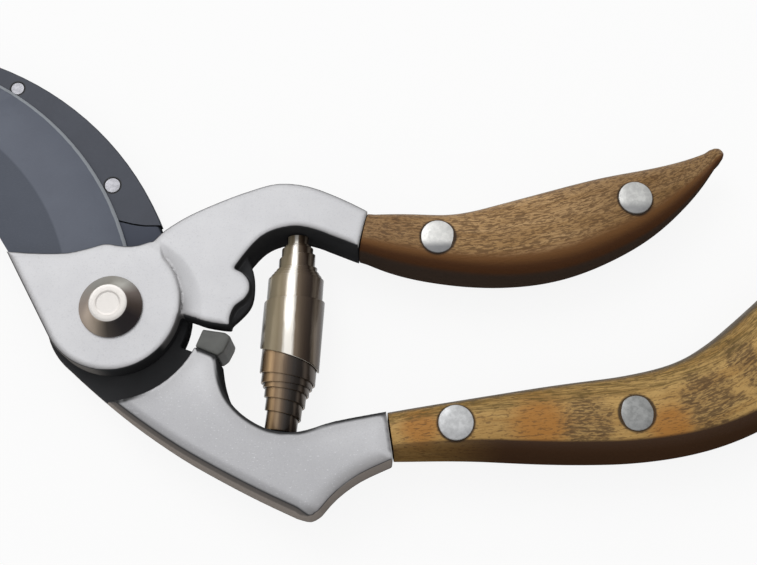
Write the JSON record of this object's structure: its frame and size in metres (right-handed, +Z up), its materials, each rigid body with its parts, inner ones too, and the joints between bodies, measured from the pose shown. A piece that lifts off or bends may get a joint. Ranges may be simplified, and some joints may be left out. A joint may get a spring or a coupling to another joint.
{
  "type": "pruning shears",
  "caption": "Bypass pruning shears, shown closed: hook and cutting blade on a conical pivot bolt, volute spring between the necks, riveted curved wooden grips",
  "frame": {"origin": "on the pivot axis, in the flat back face of the pivot nut that the shears lie on", "axes": "+Z up out of the front that shows the bolt head, +X from the jaws towards the grips, +Y towards the upper grip"},
  "size_m": [0.2183, 0.1136, 0.02],
  "materials": {
    "casting": "satin forged alloy, fine grain, soft edges",
    "blade": "dark blue-grey steel with a ground bevel",
    "bolt": "polished, warm bronze-brown",
    "spring": "polished champagne-coloured strip",
    "rivet": "satin, slightly domed",
    "bronze": "plain bearing metal",
    "steel": "plain turned steel",
    "rubber": "matt",
    "upper_wood": "oiled brown wood with short dark pores",
    "lower_wood": "oiled yellow-brown wood, darker bands towards the end"
  },
  "bodies": {
    "lower_half": {"lower_body": "casting", "hook_blade": "blade", "hook_rivet_1": "rivet", "hook_rivet_2": "rivet", "lower_scale_front": "lower_wood", "lower_scale_back": "lower_wood", "lower_grip_rivet_1": "rivet", "lower_grip_rivet_2": "rivet", "bumper": "rubber", "volute_spring": "spring", "volute_spring_lower": "spring", "pivot_bolt": "bolt", "pivot_nut": "steel", "pivot_washer": "bronze", "lock_pivot": "steel"},
    "upper_half": {"upper_body": "casting", "cutting_blade": "blade", "blade_pin_1": "steel", "blade_pin_2": "steel", "pivot_bush": "bronze", "upper_scale_front": "upper_wood", "upper_scale_back": "upper_wood", "upper_grip_rivet_1": "rivet", "upper_grip_rivet_2": "rivet", "lock_stud": "steel"},
    "lock": {"lock_lever": "steel"}
  },
  "joints": [
    {"name": "handle_pivot", "type": "hinge", "parent": "lower_half", "child": "upper_half", "pos_m": [0, 0, 0.0094], "axis": [0, 0, 1], "range_deg": [0, 28], "deforming": ["volute_spring", "volute_spring_lower"]},
    {"name": "lock_swing", "type": "hinge", "parent": "lower_half", "child": "lock", "pos_m": [0.0208, -0.0145, 0.00145], "axis": [0, 0, 1], "range_deg": [-87.4, 0]}
  ]
}
